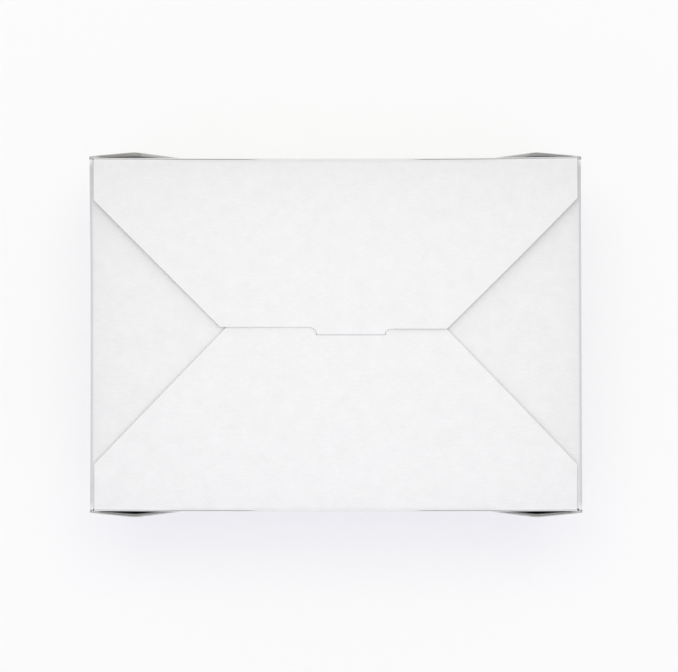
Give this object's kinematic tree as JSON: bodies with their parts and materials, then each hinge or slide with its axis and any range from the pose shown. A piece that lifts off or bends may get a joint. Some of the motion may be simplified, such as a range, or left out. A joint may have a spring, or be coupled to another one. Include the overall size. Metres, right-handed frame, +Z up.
{
  "type": "takeout food box",
  "caption": "White folded paperboard takeout box with leaning walls, gusseted corners and an interlocking flap lid held by an off-centre tab in a slit.",
  "frame": {"origin": "middle of the underside of the bottom panel, where the closed box stands", "axes": "+X along the length towards the right end, +Y towards the back wall that carries the locking flap, +Z up"},
  "size_m": [0.216, 0.1608, 0.0635],
  "materials": {
    "white_board": "matt bleached paperboard with a faint fibre mottle"
  },
  "bodies": {
    "box": {"folded_box": "white_board"},
    "lid_flap": {"locking_flap": "white_board"}
  },
  "joints": [
    {"name": "lid_flap_hinge", "type": "hinge", "parent": "box", "child": "lid_flap", "pos_m": [0, 0.07754, 0.06327], "axis": [-1, 0, 0], "range_deg": [0, 180]}
  ]
}
